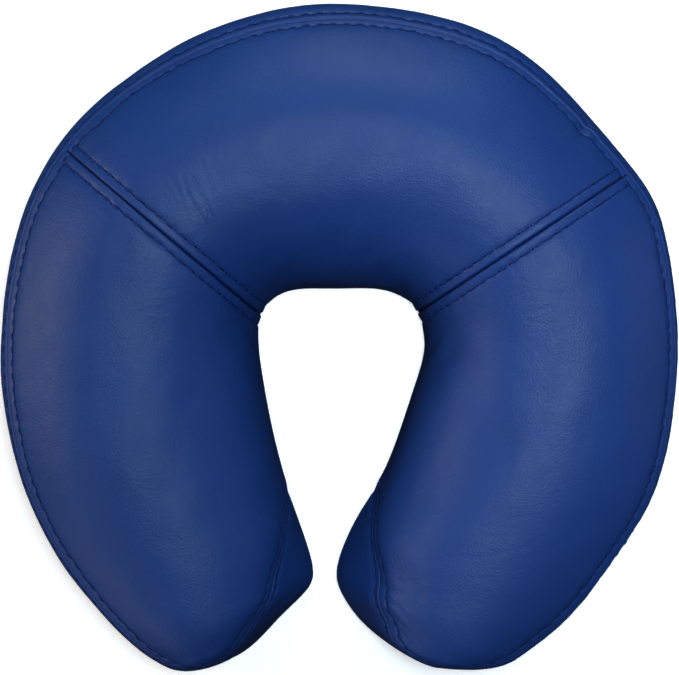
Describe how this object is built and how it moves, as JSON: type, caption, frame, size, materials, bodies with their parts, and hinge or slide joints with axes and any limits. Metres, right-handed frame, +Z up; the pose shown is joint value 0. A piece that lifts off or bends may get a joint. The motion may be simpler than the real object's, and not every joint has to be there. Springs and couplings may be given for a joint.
{
  "type": "face cradle cushion",
  "caption": "Padded crescent cushion with an open face slot, sewn leather-look cover over foam, and hook-and-loop strips underneath",
  "frame": {"origin": "under the middle of the cushion, on the plane that its fastening strips rest on", "axes": "+Z up, +Y towards the crown with the open ends of the legs towards -Y, +X to the right seen from above"},
  "size_m": [0.3052, 0.3021, 0.0781],
  "materials": {
    "cover": "semi-matt, fine pebble grain",
    "comfort_foam": "soft open-cell foam",
    "support_foam": "firm open-cell foam",
    "fastener_fabric": "brushed loop pile",
    "thread": "twisted polyester"
  },
  "bodies": {
    "root": {"crown_top_panel": "cover", "left_cheek_panel": "cover", "right_cheek_panel": "cover", "side_band": "cover", "underside_panel": "cover", "comfort_foam": "comfort_foam", "support_foam": "support_foam", "crown_strip": "fastener_fabric", "left_leg_strip": "fastener_fabric", "right_leg_strip": "fastener_fabric", "left_seam_stitching_crown_side": "thread", "left_seam_stitching_cheek_side": "thread", "right_seam_stitching_crown_side": "thread", "right_seam_stitching_cheek_side": "thread", "band_stitching_upper": "thread", "band_stitching_lower": "thread", "crown_strip_stitching": "thread", "left_leg_strip_stitching": "thread", "right_leg_strip_stitching": "thread"}
  },
  "joints": []
}
